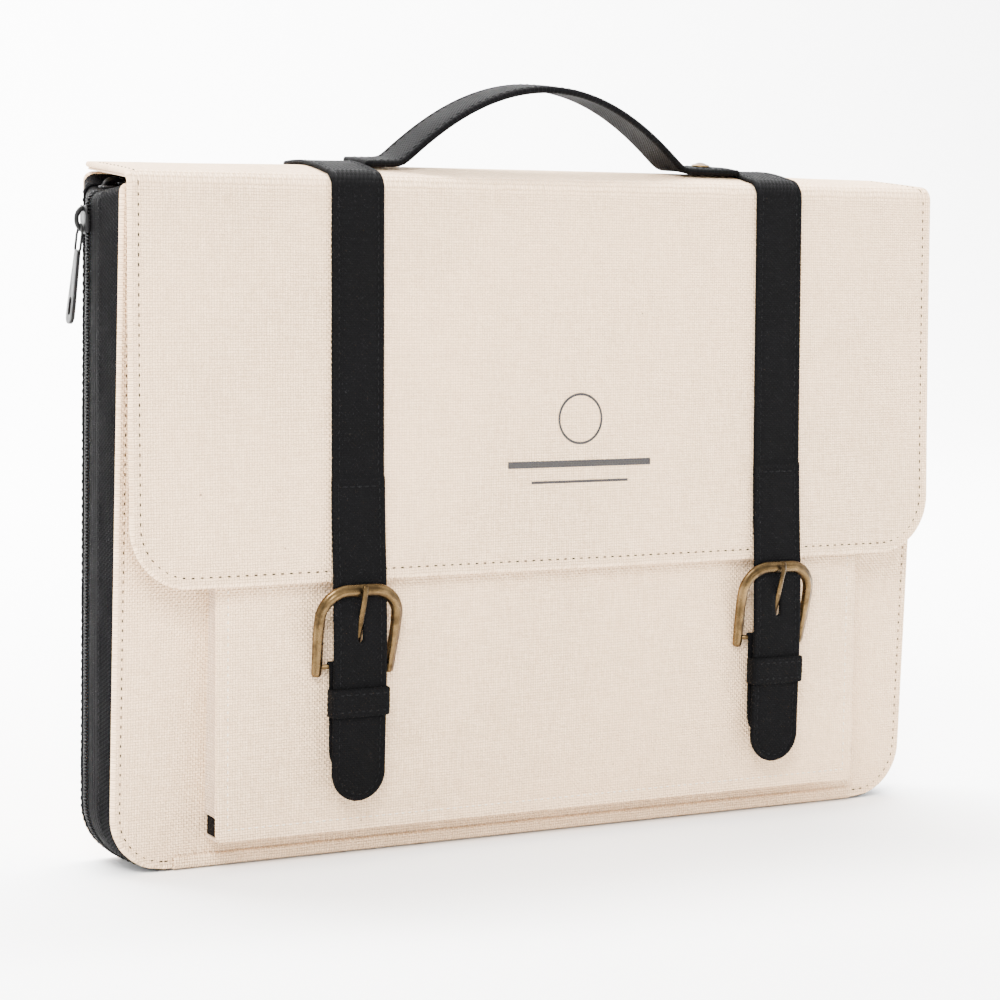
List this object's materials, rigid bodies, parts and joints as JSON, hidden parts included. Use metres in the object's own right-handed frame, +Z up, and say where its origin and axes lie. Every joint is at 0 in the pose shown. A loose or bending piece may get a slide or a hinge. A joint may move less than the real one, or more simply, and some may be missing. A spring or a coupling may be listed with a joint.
{
  "type": "portfolio case",
  "caption": "Slim zipped canvas portfolio case with a satchel flap, strap buckles, a front pocket and an arched top handle.",
  "frame": {"origin": "centre of the canvas base on the surface the case stands on, midway between the zip's two halves", "axes": "+X to the case's right seen from the front, +Y to its back, +Z up; the front faces -Y"},
  "size_m": [0.4309, 0.0638, 0.3357],
  "materials": {
    "canvas": "natural plain-weave cotton canvas",
    "webbing": "matt black canvas and tape",
    "lining": "matt black lining cloth",
    "board": "plain stiffener board",
    "brass": "antique brass, darkened in the hollows",
    "black_metal": "black lacquered zinc",
    "nylon": "black nylon coil"
  },
  "bodies": {
    "case_back": {"back_canvas": "canvas", "back_board": "board", "back_lining": "lining", "base_canvas": "canvas", "base_board": "board", "gusset_back": "webbing", "zip_tape_back": "webbing", "zip_coil_back": "nylon", "zip_stop_left": "black_metal", "zip_stop_right": "black_metal"},
    "case_front": {"front_canvas": "canvas", "front_board": "board", "front_lining": "lining", "gusset_front": "webbing", "zip_tape_front": "webbing", "zip_coil_front": "nylon", "pocket_front": "canvas", "pocket_side_left": "canvas", "pocket_side_right": "canvas", "pocket_bottom": "canvas", "pocket_lining": "lining", "snap_socket_left": "black_metal", "snap_socket_right": "black_metal"},
    "flap_top": {"flap_top_canvas": "canvas", "flap_top_lining": "canvas", "strap_top_left": "webbing", "strap_top_right": "webbing", "handle_root_left": "webbing", "handle_root_right": "webbing", "handle_rivet": "brass"},
    "flap_front": {"flap_canvas": "canvas", "flap_board": "board", "flap_lining": "canvas", "strap_left": "webbing", "strap_right": "webbing", "tongue_left": "webbing", "tongue_right": "webbing", "chape_left": "webbing", "chape_right": "webbing", "keeper_left": "webbing", "keeper_right": "webbing", "buckle_left": "brass", "buckle_right": "brass", "snap_stud_left": "black_metal", "snap_stud_right": "black_metal"},
    "handle": {"handle_grip": "webbing"},
    "prong_left": {"prong_left": "brass"},
    "prong_right": {"prong_right": "brass"},
    "slider_left": {"zip_slider_left": "black_metal"},
    "slider_top": {"zip_slider_top": "black_metal"},
    "pull_left": {"pull_loop_left": "black_metal", "pull_tab_left": "black_metal"},
    "pull_top": {"pull_loop_top": "black_metal", "pull_tab_top": "black_metal"}
  },
  "joints": [
    {"name": "flap_open", "type": "hinge", "parent": "case_back", "child": "flap_top", "pos_m": [0, 0.0183, 0.296], "axis": [-1, 0, 0], "range_deg": [0, 160]},
    {"name": "flap_fold", "type": "hinge", "parent": "flap_top", "child": "flap_front", "pos_m": [0, -0.02718, 0.29266], "axis": [-1, 0, 0], "range_deg": [0, 80]},
    {"name": "front_open", "type": "hinge", "parent": "case_back", "child": "case_front", "pos_m": [0, -0.018, 0.0006], "axis": [1, 0, 0], "range_deg": [0, 11.2]},
    {"name": "handle_swing", "type": "hinge", "parent": "flap_top", "child": "handle", "pos_m": [0.001, -0.0049, 0.30478], "axis": [1, 0, 0], "range_deg": [-20, 20], "stiffness_Nm_per_rad": 0.3},
    {"name": "prong_left_lift", "type": "hinge", "parent": "flap_front", "child": "prong_left", "pos_m": [-0.101, -0.03414, 0.08627], "axis": [1, 0, 0], "range_deg": [0, 10]},
    {"name": "prong_right_lift", "type": "hinge", "parent": "flap_front", "child": "prong_right", "pos_m": [0.116, -0.03414, 0.08627], "axis": [1, 0, 0], "range_deg": [0, 10]},
    {"name": "slider_left_travel", "type": "slide", "parent": "case_back", "child": "slider_left", "axis": [0, 0, -1], "range_m": [0, 0.235]},
    {"name": "slider_top_travel", "type": "slide", "parent": "case_back", "child": "slider_top", "axis": [1, 0, 0], "range_m": [0, 0.345]},
    {"name": "pull_left_swing", "type": "hinge", "parent": "slider_left", "child": "pull_left", "pos_m": [-0.2135, 0, 0.2727], "axis": [0, 1, 0], "range_deg": [-6, 150]},
    {"name": "pull_top_lift", "type": "hinge", "parent": "slider_top", "child": "pull_top", "pos_m": [-0.1957, 0, 0.2905], "axis": [0, -1, 0], "range_deg": [0, 80]}
  ],
  "couplings": [
    {"joint": "flap_fold", "follows": "flap_open", "ratio": 0.5},
    {"joint": "front_open", "follows": "flap_open", "ratio": 0.07},
    {"joint": "pull_top_lift", "follows": "flap_open", "ratio": 0.5}
  ]
}
